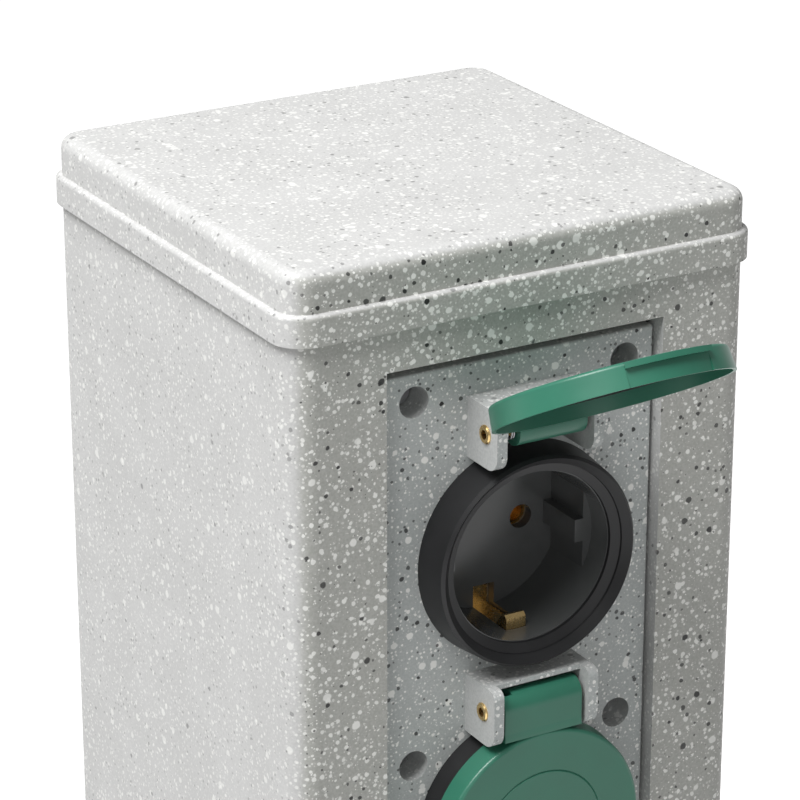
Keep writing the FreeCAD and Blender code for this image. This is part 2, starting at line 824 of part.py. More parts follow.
def make_panel_seal():
    """The rubber seal between the panel and the ledge, notched round the screw wells."""
    margin = S["through_clearance"]
    outer_x = S["opening_width"] - 2 * margin
    outer_z = S["opening_height"] - 2 * margin
    body = new_body("panel_seal")
    ring = sketch(body, "XZ", -SEAT)
    rectangle(ring, 0, OPENING_MIDDLE, outer_x, outer_z)
    inner_x = S["opening_width"] - 2 * S["ledge_width"]
    inner_z = S["opening_height"] - 2 * S["ledge_width"]
    rectangle(ring, 0, OPENING_MIDDLE, inner_x, inner_z)
    extruded(body, "Pad", ring, S["panel_seal_thickness"])
    notches = sketch(body, "XZ", -PANEL_BACK)
    for x, row in SCREW_PLACES:
        circle(notches, x, row, WELL_OUTER + S["fit_clearance"])
    extruded(body, "Pocket", notches, S["panel_seal_thickness"])
    return finished(body, "panel_seal")


def make_panel_screws():
    """Six screws sunk in the panel's wells."""
    seat = PANEL_FACE + S["well_depth"]
    length = S["well_floor"] + S["through_clearance"] + S["boss_length"] * 0.7
    return finished(group(*[screw("y", x, seat, row, length) for x, row in SCREW_PLACES]), "panel_screws")


def make_ring(name, spot):
    """The black ring round a socket's mouth, with a stepped funnel and a neck through the panel."""
    body = new_body(name)
    front = -S["ring_height"]
    lip = S["ring_front_radius"] - S["ring_lip_width"]
    step = S["ring_step_radius"]
    step_place = front + (lip - step)
    inner = S["mouth_radius"] + S["fit_clearance"] * 2
    profile = outline(
        sketch(body, "YZ"),
        [
            (S["panel_thickness"], RING_BORE),
            (S["panel_thickness"], RING_NECK),
            (0, RING_NECK),
            (0, S["ring_base_radius"]),
            (front + S["ring_lip_width"], S["ring_front_radius"]),
            (front, lip),
            (step_place, step),
            (step_place + S["fit_clearance"] * 5, step - S["fit_clearance"]),
            (MOUTH - S["ring_lip_width"], inner + S["fit_clearance"]),
            (MOUTH, inner),
            (MOUTH, RING_BORE),
        ],
    )
    turned(body, "Revolution", profile)
    place(body, 0, PANEL_FACE, spot)
    return finished(body, name)


def make_cup(name, spot):
    """The grey socket cup: round mouth, flat sides with guides, contact holes and earth slots."""
    length = CUP_END - MOUTH
    shell = rod("y", 0, MOUTH, 0, CUP_OUTER, length)
    flange = rod("y", 0, COLLAR_END, 0, S["flange_radius"], S["flange_thickness"])
    lugs = [
        rod("y", 0, COLLAR_END, S["lug_offset"] * end, S["lug_radius"], S["flange_thickness"])
        for end in (-1, 1)
    ]
    pillars = [
        rod("y", S["base_screw_x"] * end, CUP_END, S["base_screw_z"] * end, S["small_head_radius"], S["flange_thickness"])
        for end in (-1, 1)
    ]
    flat_start = MOUTH + S["cup_flat_start"]
    flat_depth = CUP_FLOOR - flat_start
    mouth = rod("y", 0, MOUTH, 0, S["mouth_radius"], S["cup_flat_start"])
    well = shared(
        rod("y", 0, flat_start, 0, S["mouth_radius"], flat_depth),
        block(
            -S["cup_flat_offset"],
            flat_start,
            -S["mouth_radius"],
            S["cup_flat_offset"] * 2,
            flat_depth,
            S["mouth_radius"] * 2,
        ),
    )
    guide_depth = S["cup_flat_offset"] - S["guide_offset"]
    guides = [
        block(start, flat_start, -S["guide_width"] / 2, guide_depth, flat_depth, S["guide_width"])
        for start in (-S["cup_flat_offset"], S["guide_offset"])
    ]
    contacts = [
        rod("y", POLE_X * side, CUP_FLOOR, 0, S["contact_hole_radius"], S["cup_back"]) for side in (-1, 1)
    ]
    slot_start = MOUTH + S["earth_slot_start"]
    slot_half = S["earth_slot_width"] / 2
    slots = [
        block(
            -slot_half,
            slot_start,
            low,
            S["earth_slot_width"],
            CUP_END - slot_start,
            S["earth_slot_depth"] + S["cup_wall"] - S["clip_thickness"] / 2,
        )
        for low in (
            S["mouth_radius"] - S["earth_slot_depth"],
            -CUP_OUTER + S["clip_thickness"] / 2,
        )
    ]
    screw_holes = [
        rod("y", 0, COLLAR_END, S["lug_offset"] * end, SMALL_PASSAGE, S["flange_thickness"]) for end in (-1, 1)
    ]
    pilots = [
        rod("y", S["base_screw_x"] * end, CUP_END - S["cup_back"] / 2, S["base_screw_z"] * end, SMALL_HOLE, S["cup_back"] / 2 + S["flange_thickness"])
        for end in (-1, 1)
    ]
    solid = without(together(shell, flange, *lugs, *pillars), mouth, well)
    cup = without(together(solid, *guides), *contacts, *slots, *screw_holes, *pilots)
    place(cup, 0, PANEL_FACE, spot)
    return finished(cup, name)


def make_base(name, spot):
    """The insulating base behind a cup, with cavities for the contacts and holes for the wires."""
    puck = rod("y", 0, CUP_END, 0, S["base_radius"], S["base_length"])
    recess_half = S["earth_slot_width"] / 2
    recess = block(
        -recess_half, CUP_END, -CUP_OUTER, S["earth_slot_width"], BRIDGE_BACK - CUP_END, CUP_OUTER * 2
    )
    gap = S["fit_clearance"]
    half = S["terminal_width"] / 2 + gap
    long_half = S["terminal_height"] / 2 + gap
    earth_half = S["earth_terminal_height"] / 2 + gap
    cavities = []
    for side in (-1, 1):
        cavities.append(rod("y", POLE_X * side, CUP_END, 0, S["sleeve_outer_radius"] + gap, SLEEVE_END - CUP_END))
        cavities.append(
            block(POLE_X * side - half, SLEEVE_END, -long_half, half * 2, S["terminal_length"] + gap, long_half * 2)
        )
    cavities.append(
        block(-long_half, CUP_END, EARTH_Z - earth_half, long_half * 2, TERMINAL_END - CUP_END + gap, earth_half * 2)
    )
    wire_holes = [
        rod("y", x, WIRE_STOP, z, WIRE_HOLE, BASE_END - WIRE_STOP) for x, z in wire_entries()
    ]
    screw_ways = [
        rod("y", x, TERMINAL_END, z, S["small_head_radius"] + gap, BASE_END - TERMINAL_END)
        for x, z in terminal_screw_places()
    ]
    pillar_ways = []
    for end in (-1, 1):
        x = S["base_screw_x"] * end
        z = S["base_screw_z"] * end
        pillar_ways.append(rod("y", x, CUP_END, z, S["small_head_radius"] + gap, S["flange_thickness"] + gap))
        pillar_ways.append(rod("y", x, CUP_END, z, SMALL_PASSAGE, S["base_length"]))
    base = without(puck, recess, *cavities, *wire_holes, *screw_ways, *pillar_ways)
    place(base, 0, PANEL_FACE, spot)
    return finished(base, name)


def wire_entries():
    """Where wires enter a base, across and up from the socket's axis: two for each pole."""
    spread = S["wire_spread"]
    entries = [(POLE_X * side, spread * end) for side in (-1, 1) for end in (-1, 1)]
    return entries + [(spread * side, EARTH_Z) for side in (-1, 1)]


def terminal_screw_places():
    """Where the three terminal screws of a base are."""
    return [(-POLE_X, sized(0)), (POLE_X, sized(0)), (sized(0), EARTH_Z)]


def make_contact(name, spot, side):
    """A brass contact: a sleeve for the plug's pin with a terminal behind it."""
    x = POLE_X * side
    width = S["terminal_width"]
    height = S["terminal_height"]
    sleeve = rod("y", x, BRIDGE_BACK, 0, S["sleeve_outer_radius"], SLEEVE_END - BRIDGE_BACK)
    terminal = block(x - width / 2, SLEEVE_END, -height / 2, width, S["terminal_length"], height)
    bore = rod("y", x, BRIDGE_BACK, 0, S["sleeve_inner_radius"], SLEEVE_END - BRIDGE_BACK)
    thread = rod("y", x, SLEEVE_END, 0, SMALL_HOLE, S["terminal_length"])
    core_start = TERMINAL_END - S["core_length"]
    core_ways = [
        rod("y", x, core_start, S["wire_spread"] * end, CORE_HOLE, S["core_length"]) for end in (-1, 1)
    ]
    contact = without(together(sleeve, terminal), bore, thread, *core_ways)
    place(contact, 0, PANEL_FACE, spot)
    return finished(contact, name)


def make_earth_clip(name, spot):
    """The brass earth clip: two sprung arms with noses in the cup, a bridge and a terminal."""
    body = new_body(name)
    nose_start = MOUTH + S["earth_slot_start"] + S["fit_clearance"]
    arm_out = CUP_OUTER - S["fit_clearance"] - S["clip_thickness"] / 2
    arm_in = arm_out - S["clip_thickness"]
    nose = arm_in - S["clip_nose_height"] + S["clip_thickness"]
    bridge_front = CUP_END + S["fit_clearance"]
    bridge_back = bridge_front + S["clip_thickness"]
    drawing = sketch(body, "YZ")
    outline(
        drawing,
        [
            (nose_start, arm_out),
            (nose_start, nose + S["clip_flare"]),
            (nose_start + S["clip_flare"], nose),
            (nose_start + S["clip_nose_end"], nose + S["clip_nose_ease"]),
            (nose_start + S["clip_ramp_end"], arm_in),
            (bridge_front, arm_in),
            (bridge_front, -arm_in),
            (nose_start + S["clip_ramp_end"], -arm_in),
            (nose_start + S["clip_nose_end"], -nose - S["clip_nose_ease"]),
            (nose_start + S["clip_flare"], -nose),
            (nose_start, -nose - S["clip_flare"]),
            (nose_start, -arm_out),
            (bridge_back, -arm_out),
            (bridge_back, arm_out),
        ],
    )
    strip = S["earth_slot_width"] - 4 * S["fit_clearance"]
    extruded(body, "Pad", drawing, strip, both=True)
    back = -TERMINAL_END
    terminal = rectangle(sketch(body, "XZ", back), 0, EARTH_Z, S["terminal_height"], S["earth_terminal_height"])
    extruded(body, "Pad", terminal, TERMINAL_END - bridge_front)
    thread = circle(sketch(body, "XZ", back), 0, EARTH_Z, SMALL_HOLE)
    extruded(body, "Pocket", thread, S["terminal_length"], back=True)
    core_ways = sketch(body, "XZ", back)
    for side in (-1, 1):
        circle(core_ways, S["wire_spread"] * side, EARTH_Z, CORE_HOLE)
    extruded(body, "Pocket", core_ways, S["core_length"], back=True)
    place(body, 0, PANEL_FACE, spot)
    return finished(body, name)


def make_socket_screws(name, spot):
    """Two screws through the cup's lugs into the panel, two that hold the base, three at the terminals."""
    lug_screws = [
        screw("y", 0, COLLAR_END + S["flange_thickness"], S["lug_offset"] * end, -(S["flange_thickness"] + S["collar_height"]), small=True)
        for end in (-1, 1)
    ]
    base_screws = [
        screw("y", S["base_screw_x"] * end, BASE_END, S["base_screw_z"] * end, -(S["base_length"] + 1), small=True)
        for end in (-1, 1)
    ]
    fixing = group(*lug_screws, *base_screws)
    place(fixing, 0, PANEL_FACE, spot)
    finished(fixing, "socket_screws_" + name)
    terminal = group(
        *[screw("y", x, TERMINAL_END, z, -(S["terminal_length"] - 1), small=True) for x, z in terminal_screw_places()]
    )
    place(terminal, 0, PANEL_FACE, spot)
    finished(terminal, "terminal_screws_" + name)


def make_sockets():
    """Both sockets, each from front to back."""
    for name, spot in SOCKETS.items():
        make_ring("socket_ring_" + name, spot)
        make_cup("socket_cup_" + name, spot)
        make_base("socket_base_" + name, spot)
        make_contact("contact_line_" + name, spot, -1)
        make_contact("contact_neutral_" + name, spot, 1)
        make_earth_clip("earth_clip_" + name, spot)
        make_socket_screws(name, spot)


def swing(thing, name):
    """Put a lid piece, drawn closed about its pin, at its hinge and at its angle in the photograph."""
    angle = S["open_angle"] if name == "upper" else sized(0)
    place(thing, 0, PIN_Y, SOCKETS[name] + S["hinge_rise"], Rotation(Vector(-1, 0, 0), 0.001))
    bind(thing, "Placement.Rotation.Angle", angle)
    return thing


def make_lid(name):
    """A green lid: a shallow cap with a finger grip, and a neck with the hinge barrel."""
    body = new_body("lid_" + name)
    face = -S["lid_face"]
    inside = face + S["lid_thickness"]
    radius = S["lid_radius"]
    front_radius = radius - S["fit_clearance"] * 5
    inner = radius - S["skirt_wall"]
    axis_z = -S["hinge_rise"]
    profile = outline(
        sketch(body, "YZ", 0, axis_z),
        [
            (face, 0),
            (face, front_radius),
            (S["skirt_back"], radius),
            (S["skirt_back"], inner),
            (inside, inner - S["fit_clearance"] * 3),
            (inside, 0),
        ],
    )
    turned(body, "Revolution", profile)
    rounded(
        body,
        S["lid_edge_radius"],
        lambda e: near(e.BoundBox.YMin, face) and near(e.BoundBox.YMax, face) and e.Length > 1,
    )

    # Fine ring line round the middle of the face
    line_radius = S["lid_line_radius"]
    line_depth = S["lid_line_depth"]
    line = outline(
        sketch(body, "YZ", 0, axis_z),
        [(face, line_radius - line_depth), (face + line_depth, line_radius), (face, line_radius + line_depth)],
    )
    turned(body, "Groove", line)

    # Finger grip at the free end: a lip proud of the edge over a shallow recess
    lip = outline(
        sketch(body, "YZ", 0, axis_z),
        [
            (face + S["lid_edge_radius"] / 3, -inner),
            (face + S["lid_edge_radius"] / 3, -radius - S["grip_proud"]),
            (face + S["grip_thickness"], -radius - S["grip_proud"]),
            (face + S["grip_thickness"], -inner),
        ],
    )
    turned(body, "Revolution", lip, S["grip_angle"])
    recess = outline(
        sketch(body, "YZ", 0, axis_z),
        [
            (face + S["grip_thickness"], -radius + S["grip_recess"]),
            (face + S["grip_thickness"], -radius - 2),
            (S["skirt_back"] + 1, -radius - 2),
            (S["skirt_back"] + 1, -radius + S["grip_recess"]),
        ],
    )
    turned(body, "Groove", recess, S["grip_angle"])

    # Neck and barrel
    neck_front = -S["barrel_radius"]
    neck_back = neck_front + S["neck_thickness"]
    rim_top = radius - S["hinge_rise"]
    neck = outline(
        sketch(body, "YZ"),
        [
            (neck_front, 0),
            (neck_front, -S["neck_step_start"]),
            (face, -S["neck_step_end"]),
            (face, rim_top - S["lid_edge_radius"]),
            (inside, rim_top - S["lid_edge_radius"]),
            (neck_back, rim_top - S["neck_foot_drop"]),
            (neck_back, 0),
        ],
    )
    extruded(body, "Pad", neck, NECK_HALF * 2, both=True)
    extruded(body, "Pad", circle(sketch(body, "YZ"), 0, 0, S["barrel_radius"]), NECK_HALF * 2, both=True)

    # Room for the spring at the left end, open behind, and a hole for the spring's leg
    spring_reach = S["coil_radius"] + S["coil_wire_radius"] + S["fit_clearance"] * 2
    spring_well = circle(sketch(body, "YZ", -NECK_HALF), 0, 0, spring_reach)
    extruded(body, "Pocket", spring_well, S["spring_room"], back=True)
    room_edge = S["barrel_radius"] + 1
    room = outline(
        sketch(body, "YZ", -NECK_HALF),
        [(neck_back, room_edge), (room_edge, room_edge), (room_edge, -room_edge), (neck_back, -room_edge)],
    )
    extruded(body, "Pocket", room, S["spring_room"], back=True)
    leg_hole_radius = S["coil_wire_radius"] + S["fit_clearance"]
    leg_hole = circle(sketch(body, "XZ"), SPRING_LID_X, -S["coil_radius"], leg_hole_radius)
    extruded(body, "Pocket", leg_hole, S["spring_leg"] + S["fit_clearance"] / 2, back=True)
    bore = circle(sketch(body, "YZ"), 0, 0, S["pin_radius"] + S["pin_clearance"])
    extruded(body, "Pocket", bore, S["bracket_width"], both=True)
    swing(body, name)
    return finished(body, "lid_" + name)


def make_lid_seal(name):
    """The flat rubber ring inside a lid that lies on the socket's ring."""
    outer = S["lid_radius"] - S["skirt_wall"] - S["fit_clearance"] * 4
    start = -S["lid_face"] + S["lid_thickness"]
    axis_z = -S["hinge_rise"]
    seal = without(
        rod("y", 0, start, axis_z, outer, S["lid_seal_thickness"]),
        rod("y", 0, start, axis_z, outer - S["lid_seal_width"], S["lid_seal_thickness"]),
    )
    swing(seal, name)
    return finished(seal, "lid_seal_" + name)


def make_pin(name):
    """The hollow brass rivet that a lid turns on, flared over the outside of both ears."""
    body = new_body("hinge_pin_" + name)
    end = BRACKET_HALF + S["pin_head_height"]
    soft = S["pin_head_height"] / 2
    profile = outline(
        sketch(body, "XY"),
        [
            (-end, S["pin_bore_radius"]),
            (-end, S["pin_head_radius"] - soft),
            (-end + soft, S["pin_head_radius"]),
            (-BRACKET_HALF, S["pin_head_radius"]),
            (-BRACKET_HALF, S["pin_radius"]),
            (BRACKET_HALF, S["pin_radius"]),
            (BRACKET_HALF, S["pin_head_radius"]),
            (end - soft, S["pin_head_radius"]),
            (end, S["pin_head_radius"] - soft),
            (end, S["pin_bore_radius"]),
        ],
    )
    turned(body, "Revolution", profile)
    place(body, 0, PIN_Y, SOCKETS[name] + S["hinge_rise"])
    return finished(body, "hinge_pin_" + name)


def make_spring(name):
    """The torsion spring round a pin: one leg on the panel, the other in a hole in the lid's neck."""
    radius = S["coil_radius"].value
    wire = S["coil_wire_radius"].value
    opened = S["open_angle"].value if name == "upper" else 0.0
    turns = S["coil_turns"].value + opened / 360.0
    length = SPRING_PANEL_X.value - SPRING_LID_X.value
    coil = Part.makeHelix(length / turns, length, radius)
    # The wire comes forward from the panel under the pin and winds up in front of it
    coil.Placement = Placement(
        Vector(SPRING_PANEL_X.value, 0, 0), Rotation(-Z_AXIS, -Y_AXIS, -X_AXIS, "XYZ")
    )
    panel_end = Vector(SPRING_PANEL_X.value, S["hinge_proud"].value - wire / 2, -radius)
    coil_start = Vector(SPRING_PANEL_X.value, 0, -radius)
    turn = Rotation(-X_AXIS, opened)
    leg_place = Vector(SPRING_LID_X.value, 0, 0)
    coil_end = leg_place + turn.multVec(Vector(0, 0, -radius))
    lid_end = leg_place + turn.multVec(Vector(0, -S["spring_leg"].value, -radius))
    path = Part.Wire([Part.makeLine(panel_end, coil_start)] + coil.Edges + [Part.makeLine(coil_end, lid_end)])
    section = Part.Wire(Part.makeCircle(wire, panel_end, -Y_AXIS))
    thing = doc.addObject("Part::Feature", "torsion_spring_" + name)
    thing.Shape = path.makePipeShell([section], True, True)
    place(thing, 0, PIN_Y, SOCKETS[name] + S["hinge_rise"])
    return finished(thing, "torsion_spring_" + name)


def make_ground_plate():
    """The plate that the post stands on, with anchor holes and a cable hole."""
    body = new_body("ground_plate")
    gap = S["wall"] * 2 + S["plate_clearance"] * 2
    width = S["post_width"] - gap
    depth = S["post_depth"] - gap
    extruded(body, "Pad", rectangle(sketch(body, "XY"), 0, 0, width, depth), S["plate_thickness"])
    rounded(body, S["inner_corner_radius"] + S["plate_clearance"], lambda e: runs_along(e, Z_AXIS))
    anchors = sketch(body, "XY", S["plate_thickness"])
    for side in (-1, 1):
        for end in (-1, 1):
            circle(anchors, S["anchor_spacing"] / 2 * side, S["anchor_spacing"] / 2 * end, S["anchor_radius"])
    extruded(body, "Pocket", anchors, S["plate_thickness"])
    neck = S["entry_radius"] + S["grommet_wall"]
    flange = neck + S["grommet_flange"] + S["fit_clearance"]
    extruded(body, "Pocket", circle(sketch(body, "XY"), 0, S["entry_offset"], neck), S["plate_thickness"], back=True)
    extruded(body, "Pocket", circle(sketch(body, "XY"), 0, S["entry_offset"], flange), S["grommet_lip"], back=True)
    return finished(body, "ground_plate")


def make_side_brackets():
    """Two flat bars standing on the plate along its sides, with threads for the column's screws."""
    thick = S["plate_thickness"]
    outer = S["post_width"] / 2 - S["wall"] - S["plate_clearance"]
    bars = []
    for side in (-1, 1):
        start = (outer - thick / 2) * side - thick / 2
        bar = block(start, -S["upstand_length"] / 2, thick, thick, S["upstand_length"], S["upstand_height"])
        spots = [S["side_screw_spacing"] / 2 * end for end in (-1, 1)]
        threads = [rod("x", start, y, S["side_screw_height"], SCREW_HOLE, thick) for y in spots]
        bars.append(without(bar, *threads))
    return finished(group(*bars), "side_brackets")


def make_ground_screws():
    """Four screws through the column's sides into the side brackets."""
    length = S["wall"] + S["plate_clearance"] + S["plate_thickness"]
    screws = []
    for end in (-1, 1):
        y = S["side_screw_spacing"] / 2 * end
        screws.append(screw("x", -HALF_WIDTH, y, S["side_screw_height"], length))
        screws.append(screw("x", HALF_WIDTH, y, S["side_screw_height"], -length))
    return finished(group(*screws), "ground_plate_screws")


def make_grommet():
    """The rubber grommet in the plate that a cable comes up through."""
    body = new_body("cable_grommet")
    neck = S["entry_radius"] + S["grommet_wall"]
    flange = neck + S["grommet_flange"]
    above = S["plate_thickness"] + S["grommet_lip"]
    profile = outline(
        sketch(body, "XZ"),
        [
            (S["entry_radius"], 0),
            (flange, 0),
            (flange, S["grommet_lip"]),
            (neck, S["grommet_lip"]),
            (neck, S["plate_thickness"]),
            (flange, S["plate_thickness"]),
            (flange, above),
            (S["entry_radius"] + S["grommet_lip"], S["grommet_height"]),
            (S["entry_radius"], S["grommet_height"]),
        ],
    )
    feature = turned(body, "Revolution", profile)
    feature.ReferenceAxis = (profile, ["V_Axis"])
    place(body, 0, S["entry_offset"], 0)
    return finished(body, "cable_grommet")


def make_carrier():
    """The carrier plate on the rear stand-offs, with its two screws."""
    rear = HALF_DEPTH - S["wall"] - S["carrier_standoff"]
    start = rear - S["carrier_thickness"]
    plate = block(
        -S["carrier_width"] / 2,
        start,
        S["carrier_height"] - S["carrier_length"] / 2,
        S["carrier_width"],
        S["carrier_thickness"],
        S["carrier_length"],
    )
    spots = [S["carrier_height"] + S["carrier_screw_spacing"] / 2 * end for end in (-1, 1)]
    holes = [rod("y", 0, start, z, SCREW_PASSAGE, S["carrier_thickness"]) for z in spots]
    finished(without(plate, *holes), "terminal_carrier")
    length = S["carrier_thickness"] + S["carrier_standoff"] * 0.8
    finished(group(*[screw("y", 0, start, z, length) for z in spots]), "carrier_screws")
    return start


def make_terminal_block(mount_y):
    """The three-pole terminal block with its brass clamps and screws, and the cable clamp below it."""
    poles = [S["pole_pitch"] * k for k in (-1, 0, 1)]
    width = S["pole_pitch"] * 3
    depth = S["block_depth"]
    low = S["carrier_height"] - S["block_height"] / 2
    front = mount_y - depth
    wire_y = mount_y - depth / 2
    gap = S["fit_clearance"]
    clamp_half = S["wire_radius"] + 1
    clamp_start = low + S["wire_entry_depth"]
    clamp_height = S["block_height"] - 2 * S["wire_entry_depth"]
    body = block(-width / 2, front, low, width, depth, S["block_height"])
    cuts = []
    clamps = []
    screws = []
    for x in poles:
        cuts.append(rod("z", x, wire_y, low, WIRE_HOLE, S["wire_entry_depth"]))
        cuts.append(rod("z", x, wire_y, clamp_start + clamp_height, WIRE_HOLE, S["wire_entry_depth"]))
        cuts.append(
            block(
                x - clamp_half - gap,
                wire_y - clamp_half - gap,
                clamp_start,
                (clamp_half + gap) * 2,
                (clamp_half + gap) * 2,
                clamp_height,
            )
        )
        cuts.append(
            rod("y", x, front, S["carrier_height"], S["small_head_radius"] + gap, wire_y - clamp_half - front)
        )
        clamp = block(
            x - clamp_half,
            wire_y - clamp_half,
            clamp_start + gap,
            clamp_half * 2,
            clamp_half * 2,
            clamp_height - 2 * gap,
        )
        thread = rod("y", x, wire_y - clamp_half, S["carrier_height"], SMALL_HOLE, clamp_half)
        core_way = rod("z", x, wire_y, clamp_start + gap, CORE_HOLE, clamp_height - 2 * gap)
        clamps.append(without(clamp, thread, core_way))
        screws.append(
            screw("y", x, wire_y - clamp_half, S["carrier_height"], clamp_half - S["core_radius"], small=True)
        )
    finished(without(body, *cuts), "terminal_block")
    finished(group(*clamps), "terminal_clamps")
    finished(group(*screws), "block_screws")

    # The saddle that grips the incoming cable under the block
    saddle_width = S["clamp_saddle_width"]
    saddle_low = S["carrier_height"] - S["carrier_length"] / 2 + S["clamp_margin"]
    saddle_front = mount_y - S["clamp_saddle_depth"]
    arch = rod("z", 0, mount_y, saddle_low, S["entry_radius"], S["clamp_saddle_height"])
    middle_z = saddle_low + S["clamp_saddle_height"] / 2
    screw_x = (S["entry_radius"] + saddle_width / 2) / 2
    ways = [rod("y", screw_x * side, saddle_front, middle_z, SMALL_PASSAGE, S["clamp_saddle_depth"]) for side in (-1, 1)]
    saddle = block(
        -saddle_width / 2, saddle_front, saddle_low, saddle_width, S["clamp_saddle_depth"], S["clamp_saddle_height"]
    )
    finished(without(saddle, arch, *ways), "cable_clamp")
    grip = [
        screw("y", screw_x * side, saddle_front, middle_z, S["clamp_saddle_depth"], small=True)
        for side in (-1, 1)
    ]
    finished(group(*grip), "cable_clamp_screws")
    return poles, wire_y, low + S["block_height"]


def make_cores(poles, block_y, block_top):
    """The bare copper ends of the wires, in the terminals of both sockets and of the block."""
    start = TERMINAL_END - S["core_length"]
    length = WIRE_STOP - start
    ends = []
    for name, spot in SOCKETS.items():
        entries = wire_entries()
        if name == "upper":
            entries = [entries[0], entries[2], entries[5]]
        for x, z in entries:
            ends.append(rod("y", x, PANEL_FACE + start, spot + z, S["core_radius"], length))
    low = block_top - S["wire_entry_depth"] - S["core_length"]
    for x in poles:
        ends.append(rod("z", x, block_y, low, S["core_radius"], S["core_length"] + S["fit_clearance"]))
    return finished(group(*ends), "wire_cores")


def bent_wire(points):
    """An insulated wire along straight runs joined by tangent arcs."""
    bend = S["wire_bend"].value
    places = [Vector(*[sized(c).value for c in point]) for point in points]
    pieces = []
    start = places[0]
    for before, corner, after in zip(places, places[1:], places[2:]):
        inward = (corner - before).normalize()
        outward = (after - corner).normalize()
        turn = inward.getAngle(outward)
        shorter = min((corner - before).Length, (after - corner).Length)
        reach = min(bend * math.tan(turn / 2), 0.45 * shorter)
        arc_start = corner - inward * reach
        arc_end = corner + outward * reach
        radius = reach / math.tan(turn / 2)
        inner = (outward - inward).normalize()
        centre = corner + inner * math.hypot(reach, radius)
        pieces.append(Part.makeLine(start, arc_start))
        pieces.append(Part.Arc(arc_start, centre - inner * radius, arc_end).toShape())
        start = arc_end
    pieces.append(Part.makeLine(start, places[-1]))
    path = Part.Wire(pieces)
    heading = (places[1] - places[0]).normalize()
    section = Part.Wire(Part.makeCircle(S["wire_radius"].value, places[0], heading))
    return path.makePipeShell([section], True, False)


def make_wires(poles, block_y, block_top):
    """The internal wires: terminal block to lower socket, lower socket to upper socket."""
    lower = SOCKETS["lower"]
    upper = SOCKETS["upper"]
    clear = S["fit_clearance"]
    entry = PANEL_FACE + WIRE_STOP
    out = PANEL_FACE + BASE_END + S["wire_bend"]
    block_stop = block_top - S["wire_entry_depth"] + clear
    rise = block_top + S["wire_bend"]
    spread = S["wire_spread"]
    ends = {
        "wire_line": (poles[0], -POLE_X, -POLE_X, -spread, spread, -spread),
        "wire_earth": (poles[1], -spread, spread, EARTH_Z, EARTH_Z, EARTH_Z),
        "wire_neutral": (poles[2], POLE_X, POLE_X, -spread, spread, -spread),
    }
    for name, (block_x, feed_x, link_x, feed_z, link_low, link_high) in ends.items():
        back = out + S["wire_bend"] * 0.7 if name == "wire_earth" else out
        feed = bent_wire(
            [
                (block_x, block_y, block_stop),
                (block_x, block_y, rise),
                (feed_x, back, lower + feed_z),
                (feed_x, entry, lower + feed_z),
            ]
        )
        link = bent_wire(
            [
                (link_x, entry, lower + link_low),
                (link_x, back, lower + link_low),
                (link_x, back, upper + link_high),
                (link_x, entry, upper + link_high),
            ]
        )
        thing = doc.addObject("Part::Feature", name)
        thing.Shape = Part.makeCompound([feed, link])
        finished(thing, name)


def check_and_export():
    """Stop if anything failed, then write each sub-part."""
    doc.recompute()
    for thing in doc.Objects:
        if "Invalid" in thing.State or "Error" in thing.State:
            raise RuntimeError("{} ({}) failed".format(thing.Name, thing.Label))
    os.makedirs("parts", exist_ok=True)
    for thing in NODES:
        shape = thing.Shape
        if shape.isNull() or not shape.isValid() or not shape.Solids:
            raise RuntimeError(thing.Label + " has no valid solid")
        shape.exportStep("parts/{}.step".format(thing.Label))
        print("{:24s} {:3d} solids {:12.1f} mm3".format(thing.Label, len(shape.Solids), shape.Volume))


make_column()
make_cap()
make_cap_seal()
make_cap_screws()
make_panel()
make_panel_seal()
make_panel_screws()
make_sockets()
for lid_name in SOCKETS:
    make_lid(lid_name)
    make_lid_seal(lid_name)
    make_pin(lid_name)
    make_spring(lid_name)
make_ground_plate()
make_side_brackets()
make_ground_screws()
make_grommet()
carrier_face = make_carrier()
wire_places = make_terminal_block(carrier_face)
make_cores(*wire_places)
make_wires(*wire_places)
check_and_export()
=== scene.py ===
import json
import math

import bmesh
import bpy
from mathutils import Matrix, Vector


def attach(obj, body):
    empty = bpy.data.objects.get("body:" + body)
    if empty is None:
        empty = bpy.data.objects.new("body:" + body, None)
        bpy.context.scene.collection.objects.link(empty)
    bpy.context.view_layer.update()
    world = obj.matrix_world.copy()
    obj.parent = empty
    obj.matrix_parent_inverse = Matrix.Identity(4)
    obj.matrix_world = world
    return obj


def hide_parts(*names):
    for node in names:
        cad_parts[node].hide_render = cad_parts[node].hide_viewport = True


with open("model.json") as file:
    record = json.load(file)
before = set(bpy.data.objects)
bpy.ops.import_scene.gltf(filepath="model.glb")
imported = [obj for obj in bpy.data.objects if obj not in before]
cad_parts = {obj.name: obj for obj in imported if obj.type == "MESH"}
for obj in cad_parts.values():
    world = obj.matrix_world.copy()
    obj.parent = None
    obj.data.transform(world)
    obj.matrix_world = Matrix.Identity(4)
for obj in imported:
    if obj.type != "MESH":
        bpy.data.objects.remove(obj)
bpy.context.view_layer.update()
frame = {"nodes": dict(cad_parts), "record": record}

MM = 0.001

# The hinges: the body that turns, the pin's centre in metres, and how far the lid is open at rest
HINGES = {
    "upper": {"body": "upper_lid", "centre": Vector((0, -0.0624, 0.3584)), "opened": 120.0},
    "lower": {"body": "lower_lid", "centre": Vector((0, -0.0624, 0.2929)), "opened": 0.0},
}

# Stone look: the colours of its ground and grains, and how far the grains' outlines wander
PALE_DUST = (0.95, 0.95, 0.93)
DARK_CLOUD = (0.1, 0.1, 0.09)
WHITE_GRAIN = (0.86, 0.86, 0.83)
BLACK_GRAIN = (0.012, 0.012, 0.012)
OUTLINE_WANDER = 0.5 * MM

